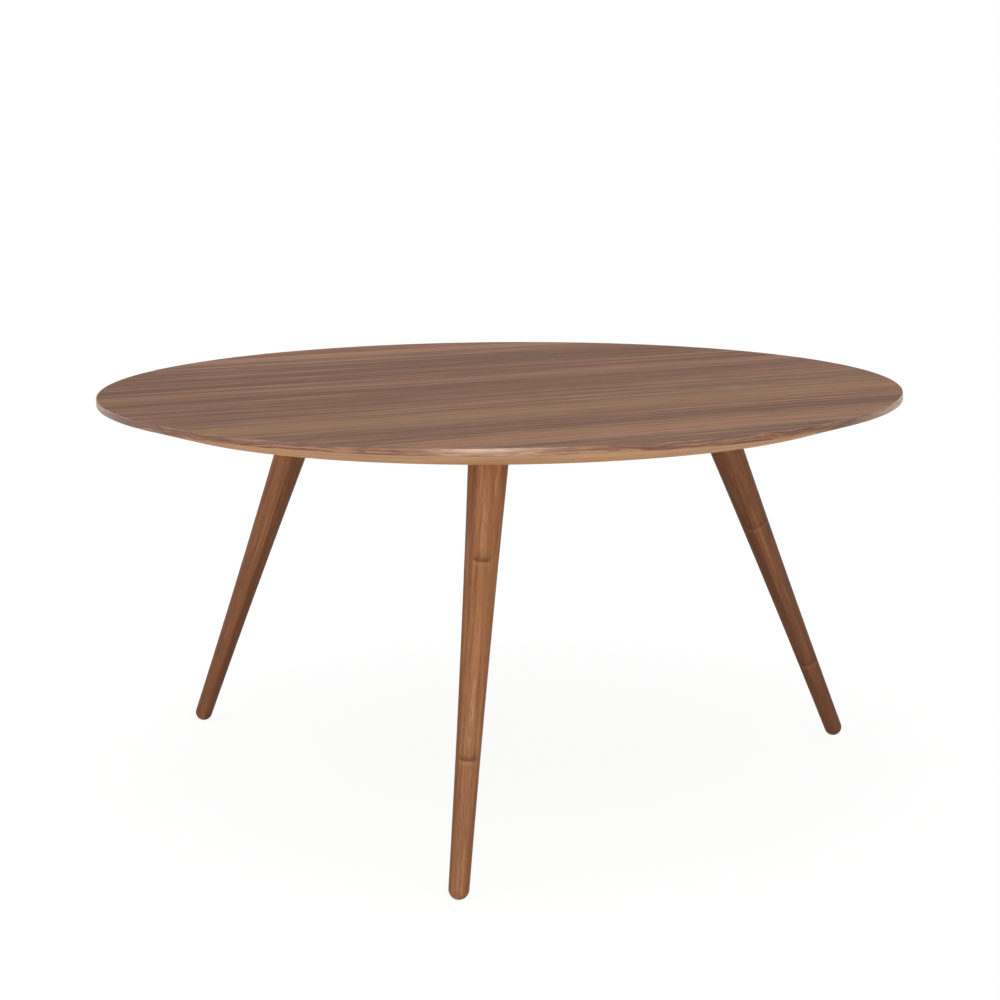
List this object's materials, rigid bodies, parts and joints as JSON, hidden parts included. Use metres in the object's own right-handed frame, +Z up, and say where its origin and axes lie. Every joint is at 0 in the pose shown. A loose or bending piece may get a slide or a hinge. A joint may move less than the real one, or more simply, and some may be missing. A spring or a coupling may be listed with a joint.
{
  "type": "coffee table",
  "caption": "Low round table: thin veneered top with a bevelled underside, on splayed, tapering turned wooden legs with rounded feet.",
  "frame": {"origin": "on the floor, under the centre of the round top", "axes": "+Z up; -Y towards the front leg's foot, +X towards the right-hand back leg; x = 0 is the mirror plane of the three feet"},
  "size_m": [0.8999, 0.9, 0.448],
  "materials": {
    "core_board": "raw fibreboard",
    "top_veneer": "matt lacquered striped walnut veneer",
    "edge_band": "matt lacquered figured walnut strip",
    "bevel_veneer": "matt lacquered pale straight-grained veneer",
    "underside_veneer": "matt backing veneer",
    "leg_wood": "satin oiled, warm walnut brown",
    "plate_metal": "black powder-coated casting",
    "zinc_steel": "bright zinc plated",
    "glide_plastic": "dark brown moulded plastic"
  },
  "bodies": {
    "root": {"top_core": "core_board", "top_veneer": "top_veneer", "edge_band": "edge_band", "bevel_veneer": "bevel_veneer", "underside_veneer": "underside_veneer", "leg_front": "leg_wood", "leg_right": "leg_wood", "leg_left": "leg_wood", "leg_plate_front": "plate_metal", "leg_plate_right": "plate_metal", "leg_plate_left": "plate_metal", "plate_screws_front": "zinc_steel", "plate_screws_right": "zinc_steel", "plate_screws_left": "zinc_steel", "hanger_bolt_front": "zinc_steel", "hanger_bolt_right": "zinc_steel", "hanger_bolt_left": "zinc_steel", "foot_glide_front": "glide_plastic", "foot_glide_right": "glide_plastic", "foot_glide_left": "glide_plastic", "glide_nail_front": "zinc_steel", "glide_nail_right": "zinc_steel", "glide_nail_left": "zinc_steel"}
  },
  "joints": []
}
